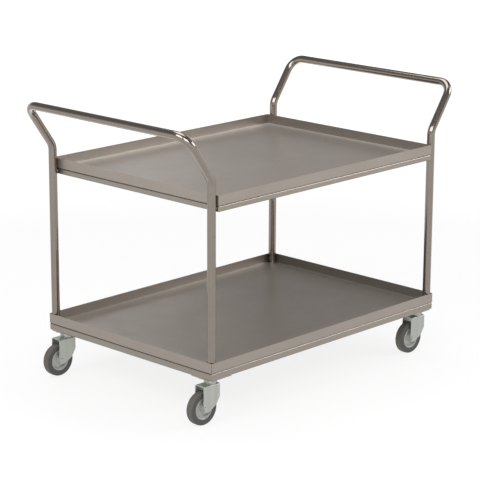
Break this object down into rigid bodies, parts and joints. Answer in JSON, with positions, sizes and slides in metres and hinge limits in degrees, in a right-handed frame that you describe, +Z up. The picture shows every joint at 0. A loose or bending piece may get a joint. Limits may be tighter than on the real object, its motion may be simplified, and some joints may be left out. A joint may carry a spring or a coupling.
{
  "type": "platform trolley",
  "caption": "Stainless-steel trolley with an upper and a lower rimmed deck between two bent-tube push handles, on swivel casters.",
  "frame": {"origin": "on the ground under the middle of the deck, at the centre of the bounding box's underside", "axes": "+X along the deck's length, +Y across the deck, +Z up"},
  "size_m": [1.1908, 0.7, 0.8675],
  "materials": {
    "tray_sheet": "satin-ground stainless sheet",
    "frame_steel": "satin stainless sections",
    "polished_tube": "polished stainless tube",
    "zinc_fork": "zinc-plated pressed sheet",
    "zinc_steel": "zinc-plated steel",
    "bearing_steel": "ground and polished",
    "hub_plastic": "moulded, light grey",
    "tyre_rubber": "moulded grey elastomer"
  },
  "bodies": {
    "chassis": {"lower_tray": "tray_sheet", "upper_tray": "tray_sheet", "left_handle_frame": "polished_tube", "right_handle_frame": "polished_tube", "corner_plates": "frame_steel", "foot_plugs": "zinc_steel", "foot_washers": "zinc_steel", "foot_bolts": "zinc_steel", "rivet_nuts": "zinc_steel", "upper_frame_screws": "zinc_steel", "kingpins": "zinc_fork", "caster_bolts": "zinc_steel", "caster_nuts": "zinc_steel", "lower_rail_front": "frame_steel", "lower_rail_back": "frame_steel", "lower_rail_left": "frame_steel", "lower_rail_right": "frame_steel", "lower_stiffener_left": "frame_steel", "lower_stiffener_right": "frame_steel", "upper_rail_front": "frame_steel", "upper_rail_back": "frame_steel", "upper_rail_left": "frame_steel", "upper_rail_right": "frame_steel", "upper_stiffener_left": "frame_steel", "upper_stiffener_right": "frame_steel", "front_left_caster_plate": "zinc_fork", "front_right_caster_plate": "zinc_fork", "back_left_caster_plate": "zinc_fork", "back_right_caster_plate": "zinc_fork"},
    "front_left_swivel": {"front_left_fork": "zinc_fork", "front_left_balls": "bearing_steel", "front_left_axle_bolt": "zinc_fork", "front_left_axle_nut": "zinc_fork", "front_left_axle_sleeve": "bearing_steel"},
    "front_left_wheel": {"front_left_hub": "hub_plastic", "front_left_tyre": "tyre_rubber"},
    "front_right_swivel": {"front_right_fork": "zinc_fork", "front_right_balls": "bearing_steel", "front_right_axle_bolt": "zinc_fork", "front_right_axle_nut": "zinc_fork", "front_right_axle_sleeve": "bearing_steel"},
    "front_right_wheel": {"front_right_hub": "hub_plastic", "front_right_tyre": "tyre_rubber"},
    "back_left_swivel": {"back_left_fork": "zinc_fork", "back_left_balls": "bearing_steel", "back_left_axle_bolt": "zinc_fork", "back_left_axle_nut": "zinc_fork", "back_left_axle_sleeve": "bearing_steel"},
    "back_left_wheel": {"back_left_hub": "hub_plastic", "back_left_tyre": "tyre_rubber"},
    "back_right_swivel": {"back_right_fork": "zinc_fork", "back_right_balls": "bearing_steel", "back_right_axle_bolt": "zinc_fork", "back_right_axle_nut": "zinc_fork", "back_right_axle_sleeve": "bearing_steel"},
    "back_right_wheel": {"back_right_hub": "hub_plastic", "back_right_tyre": "tyre_rubber"}
  },
  "joints": [
    {"name": "front_left_swivel_turn", "type": "hinge", "parent": "chassis", "child": "front_left_swivel", "pos_m": [-0.466, -0.312, 0.135], "axis": [0, 0, 1], "continuous": true},
    {"name": "front_left_wheel_spin", "type": "hinge", "parent": "front_left_swivel", "child": "front_left_wheel", "pos_m": [-0.50098, -0.31078, 0.05], "axis": [0.0349, 0.9994, 0], "continuous": true},
    {"name": "front_right_swivel_turn", "type": "hinge", "parent": "chassis", "child": "front_right_swivel", "pos_m": [0.466, -0.312, 0.135], "axis": [0, 0, 1], "continuous": true},
    {"name": "front_right_wheel_spin", "type": "hinge", "parent": "front_right_swivel", "child": "front_right_wheel", "pos_m": [0.43102, -0.31078, 0.05], "axis": [0.0349, 0.9994, 0], "continuous": true},
    {"name": "back_left_swivel_turn", "type": "hinge", "parent": "chassis", "child": "back_left_swivel", "pos_m": [-0.466, 0.312, 0.135], "axis": [0, 0, 1], "continuous": true},
    {"name": "back_left_wheel_spin", "type": "hinge", "parent": "back_left_swivel", "child": "back_left_wheel", "pos_m": [-0.50098, 0.31322, 0.05], "axis": [0.0349, 0.9994, 0], "continuous": true},
    {"name": "back_right_swivel_turn", "type": "hinge", "parent": "chassis", "child": "back_right_swivel", "pos_m": [0.466, 0.312, 0.135], "axis": [0, 0, 1], "continuous": true},
    {"name": "back_right_wheel_spin", "type": "hinge", "parent": "back_right_swivel", "child": "back_right_wheel", "pos_m": [0.43102, 0.31322, 0.05], "axis": [0.0349, 0.9994, 0], "continuous": true}
  ]
}
